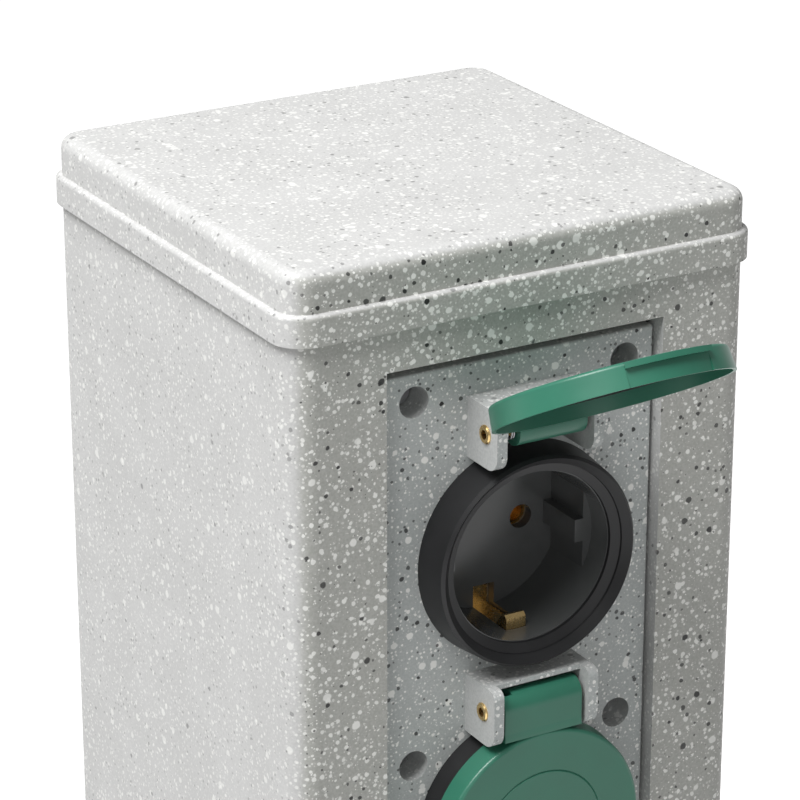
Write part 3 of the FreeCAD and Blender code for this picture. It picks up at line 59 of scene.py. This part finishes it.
# Each kind of grain: its size and the spacing of its cells in mm, the share of cells that hold one,
# and its strength
WHITE_GRAINS = [
    (0.45, 0.90, 0.75, 0.55),
    (0.62, 1.20, 0.75, 1.0),
    (0.85, 1.90, 0.50, 1.0),
    (1.30, 3.60, 0.42, 1.0),
]
BLACK_GRAINS = [
    (0.50, 1.60, 0.40, 0.8),
    (0.72, 2.60, 0.42, 1.0),
    (1.05, 5.20, 0.42, 1.0),
]

# Painted light: faces that turn left or up, towards the key lamp, take a painted lit tone (paler on
# the shell) and keep fewer of their grains, standing for the light and sheen that fall on them. Each
# pair is a range of the normal's part along that axis, over which the change comes in.
PAINTED_LIGHT_FACES_LEFT = (-0.8, -0.35)
PAINTED_LIGHT_FACES_UP = (0.35, 0.8)
FACES_SIDEWAYS = (0.75, 0.95)
# How much of each kind of grain the painted sheen fades on faces turned left or up
WHITE_FADED_BY_PAINTED_SHEEN = 0.45
BLACK_FADED_BY_PAINTED_SHEEN = 0.5
KEPT_ON_SMOOTH_SIDES = 0.1

# A grain's radius is the smallest share of its nominal size, and up to the growth more.
# Its edge fades between two shares of that radius.
SMALLEST_GRAIN = 0.25
GRAIN_GROWTH = 0.55
GRAIN_EDGE = (0.8, 1.12)
FAINTEST_GRAIN = 0.8

# Torsion spring
COIL_RADIUS = 2.0 * MM
WIRE_RADIUS = 0.24 * MM
WIRE_SIDES = 12
STEPS_PER_TURN = 28
PANEL_LEG_X = -7.38 * MM
PANEL_LEG_FROM = 7.4 * MM
PANEL_LEG_TO = 3.5 * MM
LID_LEG_X = -9.25 * MM
LID_LEG_REACH = 2.55 * MM
SPLIT_X = -8.56 * MM
SPLIT_OVERLAP = 0.12 * MM
TURNS_ON_PANEL = (0.0, 2.1)
TURNS_ON_LID = (1.95, 3.0)

# Floor, surroundings and lamps
FLOOR_REACH = 7.0
FLOOR_TONES = ((0.46, 0.46, 0.46), (0.49, 0.49, 0.49))
FLOOR_GLOW = 0.78
AMBIENT_STRENGTH = 0.29
SEEN_STRENGTH = 1.0
STUDIO_CENTRE = Vector((0, 0, 0.3))
LAMPS = {
    "key": {"from": (-0.49, -0.10, 0.86), "distance": 1.8, "size": 1.1, "power": 48},
    "fill": {"from": (-0.25, -0.95, 0.25), "distance": 1.7, "size": 1.0, "power": 3.2},
}

# Camera
AZIMUTH = -29.87
ELEVATION = 21.57
CAMERA_DISTANCE = 0.804
TARGET_RIGHT = 0.0013
TARGET_HEIGHT = 0.3422
SENSOR_WIDTH = 36.0
FOCAL_PIXELS = 3500
PICTURE_PIXELS = 800
CLIP_START = 0.01


class Shader:
    """A material under construction: its node tree and its Principled BSDF."""

    def __init__(self, name):
        self.material = bpy.data.materials.new(name)
        self.material.use_nodes = True
        self.tree = self.material.node_tree
        self.tree.nodes.clear()
        output = self.tree.nodes.new("ShaderNodeOutputMaterial")
        self.bsdf = self.tree.nodes.new("ShaderNodeBsdfPrincipled")
        self.link(self.bsdf.outputs["BSDF"], output.inputs["Surface"])
        self.place = self.tree.nodes.new("ShaderNodeTexCoord")

    def link(self, source, target):
        self.tree.links.new(source, target)

    def feed(self, value, socket):
        """Put a number, a colour or another node's output into a socket."""
        if isinstance(value, bpy.types.NodeSocket):
            self.link(value, socket)
        elif hasattr(socket.default_value, "__len__") and hasattr(value, "__len__"):
            if len(socket.default_value) == 4 and len(value) == 3:
                value = (*value, 1.0)
            socket.default_value = value
        else:
            socket.default_value = value

    def math(self, operation, a, b=0.0, c=0.0):
        node = self.tree.nodes.new("ShaderNodeMath")
        node.operation = operation
        for socket, value in zip(node.inputs, (a, b, c)):
            self.feed(value, socket)
        return node.outputs[0]

    def vector_math(self, operation, a, b):
        node = self.tree.nodes.new("ShaderNodeVectorMath")
        node.operation = operation
        self.feed(a, node.inputs[0])
        self.feed(b, node.inputs[1])
        return node.outputs[0]

    def scaled(self, vector, factor):
        node = self.tree.nodes.new("ShaderNodeVectorMath")
        node.operation = "SCALE"
        self.feed(vector, node.inputs[0])
        self.feed(factor, node.inputs["Scale"])
        return node.outputs[0]

    def mix(self, factor, a, b):
        """A blend of two colours: a where the factor is 0, and b where it is 1."""
        node = self.tree.nodes.new("ShaderNodeMix")
        node.data_type = "RGBA"
        self.feed(factor, node.inputs["Factor"])
        colour_inputs = [s for s in node.inputs if s.type == "RGBA"]
        self.feed(a, colour_inputs[0])
        self.feed(b, colour_inputs[1])
        return next(s for s in node.outputs if s.type == "RGBA")

    def ramp(self, value, low, high, to_low=0.0, to_high=1.0, smooth=True):
        """The value carried from the range low to high over to the range to_low to to_high."""
        node = self.tree.nodes.new("ShaderNodeMapRange")
        node.interpolation_type = "SMOOTHSTEP" if smooth else "LINEAR"
        for name, number in (
            ("Value", value),
            ("From Min", low),
            ("From Max", high),
            ("To Min", to_low),
            ("To Max", to_high),
        ):
            self.feed(number, node.inputs[name])
        return node.outputs["Result"]

    def noise(self, scale, detail=2.0, roughness=0.5, vector=None, colour=False):
        node = self.tree.nodes.new("ShaderNodeTexNoise")
        self.link(vector or self.place.outputs["Object"], node.inputs["Vector"])
        node.inputs["Scale"].default_value = scale
        node.inputs["Detail"].default_value = detail
        node.inputs["Roughness"].default_value = roughness
        return node.outputs["Color" if colour else "Fac"]

    def voronoi(self, scale, vector):
        """Scattered cells: the distance to the cell's centre, and the cell's own random colour."""
        node = self.tree.nodes.new("ShaderNodeTexVoronoi")
        self.link(vector, node.inputs["Vector"])
        node.inputs["Scale"].default_value = scale
        return node.outputs["Distance"], node.outputs["Color"]

    def channels(self, colour):
        node = self.tree.nodes.new("ShaderNodeSeparateColor")
        self.link(colour, node.inputs[0])
        return node.outputs

    def axes(self, vector):
        node = self.tree.nodes.new("ShaderNodeSeparateXYZ")
        self.link(vector, node.inputs[0])
        return node.outputs

    def bump(self, height, strength, distance):
        node = self.tree.nodes.new("ShaderNodeBump")
        node.inputs["Strength"].default_value = strength
        node.inputs["Distance"].default_value = distance
        self.link(height, node.inputs["Height"])
        self.link(node.outputs["Normal"], self.bsdf.inputs["Normal"])

    def set(self, **values):
        """Put values on the shader's own sockets, each named with underscores for spaces."""
        for name, value in values.items():
            self.feed(value, self.bsdf.inputs[name.replace("_", " ")])
        return self


def specks(shader, vector, size_mm, cell_mm, share):
    """A mask of scattered specks of about one size. Larger cells set them further apart."""
    scale = 1 / (cell_mm * MM)
    distance, colour = shader.voronoi(scale, vector)
    pick, growth, shine = shader.channels(colour)
    size = size_mm / cell_mm
    reach = shader.math("MULTIPLY_ADD", growth, size * GRAIN_GROWTH, size * SMALLEST_GRAIN)
    spot = shader.ramp(shader.math("DIVIDE", distance, reach), *GRAIN_EDGE, 1.0, 0.0)
    kept = shader.math("LESS_THAN", pick, share)
    strength = shader.ramp(shine, 0.0, 1.0, FAINTEST_GRAIN, 1.0, smooth=False)
    return shader.math("MULTIPLY", shader.math("MULTIPLY", spot, kept), strength)


def stone(name, base, painted_lit_tone, smooth_sides=False):
    """Speckled stone-look moulding: a fine grey ground with white and black grains.

    The left and top faces take a painted lit tone and fainter grains, standing for the key light and
    its sheen on them, and where smooth_sides is set the side faces have next to no grains.
    """
    shader = Shader(name)
    place = shader.place.outputs["Object"]
    facing = shader.axes(shader.place.outputs["Normal"])
    # Painted light: a mask of the faces turned left or up, which get the painted lit tone
    left = shader.ramp(facing[0], *PAINTED_LIGHT_FACES_LEFT, 1.0, 0.0)
    top = shader.ramp(facing[2], *PAINTED_LIGHT_FACES_UP)
    painted_light = shader.math("MAXIMUM", left, top)

    ripple = shader.noise(scale=900, detail=1, vector=place, colour=True)
    wander = shader.vector_math("SUBTRACT", ripple, (0.5, 0.5, 0.5))
    bent = shader.vector_math("ADD", place, shader.scaled(wander, OUTLINE_WANDER))
    grain = shader.noise(scale=1700, detail=2, roughness=0.6)
    cloud = shader.noise(scale=55, detail=2, roughness=0.5)
    tone = shader.mix(painted_light, base, painted_lit_tone)
    colour = shader.mix(shader.ramp(grain, 0.3, 0.7, to_high=0.14), tone, PALE_DUST)
    colour = shader.mix(shader.ramp(cloud, 0.35, 0.65, to_high=0.06), colour, DARK_CLOUD)

    # Grains faded by the painted sheen on faces turned left or up
    white_kept = shader.math("MULTIPLY_ADD", painted_light, -WHITE_FADED_BY_PAINTED_SHEEN, 1.0)
    black_kept = shader.math("MULTIPLY_ADD", painted_light, -BLACK_FADED_BY_PAINTED_SHEEN, 1.0)
    if smooth_sides:
        sideways = shader.math("ABSOLUTE", facing[0])
        sides = shader.ramp(sideways, *FACES_SIDEWAYS, 1.0, KEPT_ON_SMOOTH_SIDES)
        white_kept = shader.math("MULTIPLY", white_kept, sides)
        black_kept = shader.math("MULTIPLY", black_kept, sides)
    kinds = ((WHITE_GRAINS, white_kept, WHITE_GRAIN), (BLACK_GRAINS, black_kept, BLACK_GRAIN))
    for grains, kept, paint in kinds:
        for size, spacing, share, strength in grains:
            mask = shader.math("MULTIPLY", specks(shader, bent, size, spacing, share), strength)
            colour = shader.mix(shader.math("MULTIPLY", mask, kept), colour, paint)
    gloss = shader.ramp(grain, 0.2, 0.8, to_low=0.42, to_high=0.56)
    shader.bump(grain, strength=0.18, distance=0.12 * MM)
    return shader.set(Base_Color=colour, Roughness=gloss, Specular_IOR_Level=0.42).material


def plastic(name, base, roughness, spread, specular, grain_strength):
    """Moulded plastic: slight drifts of tone and gloss, and a fine surface grain."""
    shader = Shader(name)
    drift = shader.noise(scale=70, detail=3, roughness=0.55)
    fine = shader.noise(scale=2600, detail=2, roughness=0.6)
    darker = tuple(c * (1 - spread) for c in base)
    lighter = tuple(c * (1 + spread) for c in base)
    tone = shader.mix(shader.ramp(drift, 0.3, 0.7), darker, lighter)
    gloss = shader.math("MULTIPLY_ADD", shader.ramp(drift, 0.3, 0.7), 0.06, roughness - 0.03)
    gloss = shader.math("MULTIPLY_ADD", fine, 0.06, gloss)
    shader.bump(fine, strength=grain_strength, distance=0.06 * MM)
    return shader.set(Base_Color=tone, Roughness=gloss, Specular_IOR_Level=specular).material


def rubber(name, base):
    """Soft black rubber with a dusty bloom."""
    shader = Shader(name)
    bloom = shader.noise(scale=260, detail=3, roughness=0.65)
    fine = shader.noise(scale=3200, detail=2, roughness=0.6)
    dusty = tuple(c * 2.2 for c in base)
    tone = shader.mix(shader.ramp(bloom, 0.4, 0.75, to_high=0.5), base, dusty)
    gloss = shader.ramp(bloom, 0.2, 0.8, to_low=0.66, to_high=0.82)
    shader.bump(fine, strength=0.15, distance=0.08 * MM)
    return shader.set(Base_Color=tone, Roughness=gloss, Specular_IOR_Level=0.3).material


def metal(name, base, tarnish, roughness, streak=(1, 1, 1), streak_scale=900):
    """Worked metal: tarnish in patches and fine streaks in the gloss."""
    shader = Shader(name)
    stretched = shader.vector_math("MULTIPLY", shader.place.outputs["Object"], streak)
    lines = shader.noise(streak_scale, detail=3, roughness=0.6, vector=stretched)
    patches = shader.noise(scale=140, detail=3, roughness=0.6)
    tone = shader.mix(shader.ramp(patches, 0.42, 0.7, to_high=0.6), base, tarnish)
    gloss = shader.math("MULTIPLY_ADD", lines, 0.22, roughness - 0.08)
    shader.bump(lines, strength=0.06, distance=0.05 * MM)
    return shader.set(Base_Color=tone, Roughness=gloss, Metallic=1.0).material


# Plastics: colour, roughness, spread of the tone, specular level, strength of the fine grain
PLASTICS = {
    "lid_green": ((0.028, 0.155, 0.100), 0.33, 0.06, 0.5, 0.04),
    "ring_black": ((0.013, 0.013, 0.014), 0.42, 0.15, 0.35, 0.1),
    "cup_grey": ((0.085, 0.088, 0.088), 0.2, 0.08, 0.5, 0.03),
    "base_cream": ((0.52, 0.47, 0.38), 0.5, 0.08, 0.4, 0.1),
    "block_white": ((0.62, 0.62, 0.58), 0.45, 0.05, 0.4, 0.08),
    "carrier_grey": ((0.16, 0.16, 0.165), 0.5, 0.1, 0.4, 0.15),
    "wire_brown": ((0.13, 0.045, 0.018), 0.42, 0.08, 0.45, 0.06),
    "wire_blue": ((0.02, 0.09, 0.36), 0.42, 0.08, 0.45, 0.06),
    "wire_green": ((0.10, 0.36, 0.03), 0.42, 0.08, 0.45, 0.06),
}

# Metals: colour, colour of the tarnish, roughness, and for the rolled plate its streaks
METALS = {
    "brass": ((0.83, 0.60, 0.28), (0.55, 0.36, 0.14), 0.24),
    "copper": ((0.85, 0.42, 0.26), (0.5, 0.22, 0.12), 0.3),
    "screw_steel": ((0.58, 0.58, 0.60), (0.36, 0.36, 0.37), 0.34),
    "spring_steel": ((0.40, 0.40, 0.41), (0.16, 0.16, 0.16), 0.3),
    "plate_steel": ((0.52, 0.54, 0.56), (0.40, 0.42, 0.43), 0.42, (1, 9, 1), 120),
}

MATERIALS = {
    # Each stone's second colour is its painted lit tone for faces turned left or up: paler on the shell,
    # about the same on the panel
    "stone_shell": stone("stone_shell", (0.385, 0.388, 0.361), (0.50, 0.50, 0.495)),
    "panel_shell": stone("panel_shell", (0.41, 0.436, 0.43), (0.40, 0.41, 0.405), smooth_sides=True),
    "rubber_black": rubber("rubber_black", (0.014, 0.014, 0.014)),
}
MATERIALS.update({name: plastic(name, *values) for name, values in PLASTICS.items()})
MATERIALS.update({name: metal(name, *values) for name, values in METALS.items()})


def dress():
    """Give every CAD node the material of its slot."""
    slots = {entry["node"]: entry["material_slot"] for entry in frame["record"]["subparts"]}
    for node, thing in frame["nodes"].items():
        thing.data.materials.clear()
        thing.data.materials.append(MATERIALS[slots[node]])


def tube(name, points):
    """The spring's round wire along the points, with closed ends."""
    mesh = bpy.data.meshes.new(name)
    form = bmesh.new()
    heading = (points[1] - points[0]).normalized()
    side = heading.orthogonal().normalized()
    rings = []
    for k, point in enumerate(points):
        before = points[max(k - 1, 0)]
        after = points[min(k + 1, len(points) - 1)]
        along = (after - before).normalized()
        side = (side - along * side.dot(along)).normalized()
        across = along.cross(side)
        ring = []
        for n in range(WIRE_SIDES):
            angle = 2 * math.pi * n / WIRE_SIDES
            outward = side * math.cos(angle) + across * math.sin(angle)
            ring.append(form.verts.new(point + outward * WIRE_RADIUS))
        rings.append(ring)
    for one, two in zip(rings, rings[1:]):
        for n in range(WIRE_SIDES):
            m = (n + 1) % WIRE_SIDES
            form.faces.new((one[n], one[m], two[m], two[n]))
    form.faces.new(list(reversed(rings[0])))
    form.faces.new(rings[-1])
    bmesh.ops.recalc_face_normals(form, faces=form.faces)
    form.to_mesh(mesh)
    form.free()
    for face in mesh.polygons:
        face.use_smooth = len(face.vertices) == 4
    thing = bpy.data.objects.new(name, mesh)
    bpy.context.scene.collection.objects.link(thing)
    return thing


def helix(start_x, end_x, turns):
    """Points of a coil about the X axis. At a whole turn the wire is under the axis and heads forward."""
    start_turn, end_turn = turns
    count = round((end_turn - start_turn) * STEPS_PER_TURN)
    points = []
    for k in range(count + 1):
        share = k / count
        angle = 2 * math.pi * (start_turn + (end_turn - start_turn) * share)
        x = start_x + (end_x - start_x) * share
        points.append(Vector((x, -COIL_RADIUS * math.sin(angle), -COIL_RADIUS * math.cos(angle))))
    return points


def spring(name):
    """A torsion spring in two pieces: the turns on the panel's leg, and the last turn on the lid's leg."""
    place = HINGES[name]
    fixed = [Vector((PANEL_LEG_X, y, -COIL_RADIUS)) for y in (PANEL_LEG_FROM, PANEL_LEG_TO)]
    fixed += helix(PANEL_LEG_X, SPLIT_X, TURNS_ON_PANEL)
    coil = tube("spring_coil_" + name, [p + place["centre"] for p in fixed])
    moving = helix(SPLIT_X - SPLIT_OVERLAP, LID_LEG_X, TURNS_ON_LID)
    moving.append(Vector((LID_LEG_X, -LID_LEG_REACH, -COIL_RADIUS)))
    turn = Matrix.Rotation(-math.radians(place["opened"]), 4, "X")
    leg = tube("spring_leg_" + name, [turn @ p + place["centre"] for p in moving])
    for piece in (coil, leg):
        piece.data.materials.append(MATERIALS["spring_steel"])
    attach(coil, "post")
    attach(leg, place["body"])
    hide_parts("torsion_spring_" + name)


def floor():
    """A pale floor that keeps the object's shadow and reads as white to the camera."""
    form = bmesh.new()
    bmesh.ops.create_grid(form, x_segments=2, y_segments=2, size=FLOOR_REACH)
    mesh = bpy.data.meshes.new("floor")
    form.to_mesh(mesh)
    form.free()
    thing = bpy.data.objects.new("floor", mesh)
    bpy.context.scene.collection.objects.link(thing)
    shader = Shader("floor_pale")
    tone = shader.mix(shader.noise(scale=6, detail=2), *FLOOR_TONES)
    shader.set(Base_Color=tone, Roughness=0.9, Specular_IOR_Level=0.1)
    path = shader.tree.nodes.new("ShaderNodeLightPath")
    seen = shader.math("MAXIMUM", path.outputs["Is Camera Ray"], path.outputs["Is Glossy Ray"])
    seen = shader.math("MAXIMUM", seen, path.outputs["Is Transmission Ray"])
    glow = shader.math("MULTIPLY", seen, FLOOR_GLOW)
    shader.set(Emission_Color=(1, 1, 1), Emission_Strength=glow)
    thing.data.materials.append(shader.material)


def light(name, values):
    """A soft round lamp aimed at the studio's centre."""
    lamp = bpy.data.lights.new(name, "AREA")
    lamp.energy = values["power"]
    lamp.shape = "DISK"
    lamp.size = values["size"]
    thing = bpy.data.objects.new(name, lamp)
    thing.location = STUDIO_CENTRE + Vector(values["from"]).normalized() * values["distance"]
    thing.rotation_euler = (STUDIO_CENTRE - thing.location).to_track_quat("-Z", "Y").to_euler()
    bpy.context.scene.collection.objects.link(thing)


def studio():
    """White surroundings, a broad key light from the upper left and a weak fill from the front."""
    world = bpy.data.worlds.new("studio")
    bpy.context.scene.world = world
    world.use_nodes = True
    tree = world.node_tree
    background = tree.nodes["Background"]
    path = tree.nodes.new("ShaderNodeLightPath")
    seen = tree.nodes.new("ShaderNodeMath")
    seen.operation = "MAXIMUM"
    tree.links.new(path.outputs["Is Camera Ray"], seen.inputs[0])
    tree.links.new(path.outputs["Is Transmission Ray"], seen.inputs[1])
    strength = tree.nodes.new("ShaderNodeMapRange")
    tree.links.new(seen.outputs[0], strength.inputs["Value"])
    strength.inputs["To Min"].default_value = AMBIENT_STRENGTH
    strength.inputs["To Max"].default_value = SEEN_STRENGTH
    tree.links.new(strength.outputs["Result"], background.inputs["Strength"])
    background.inputs["Color"].default_value = (1, 1, 1, 1)
    for name, values in LAMPS.items():
        light(name, values)


def camera():
    """The photograph's viewing angle."""
    azimuth = math.radians(AZIMUTH)
    elevation = math.radians(ELEVATION)
    right = Vector((math.cos(azimuth), math.sin(azimuth), 0))
    level = math.cos(elevation)
    back = Vector((math.sin(azimuth) * level, -math.cos(azimuth) * level, math.sin(elevation)))
    target = right * TARGET_RIGHT + Vector((0, 0, TARGET_HEIGHT))
    lens = bpy.data.cameras.new("camera")
    lens.sensor_width = SENSOR_WIDTH
    lens.lens = SENSOR_WIDTH * FOCAL_PIXELS / PICTURE_PIXELS
    lens.clip_start = CLIP_START
    thing = bpy.data.objects.new("camera", lens)
    thing.location = target + back * CAMERA_DISTANCE
    thing.rotation_euler = (-back).to_track_quat("-Z", "Y").to_euler()
    bpy.context.scene.collection.objects.link(thing)
    bpy.context.scene.camera = thing


camera()
dress()
for side in HINGES:
    spring(side)
floor()
studio()
bpy.context.scene.view_settings.view_transform = "Standard"
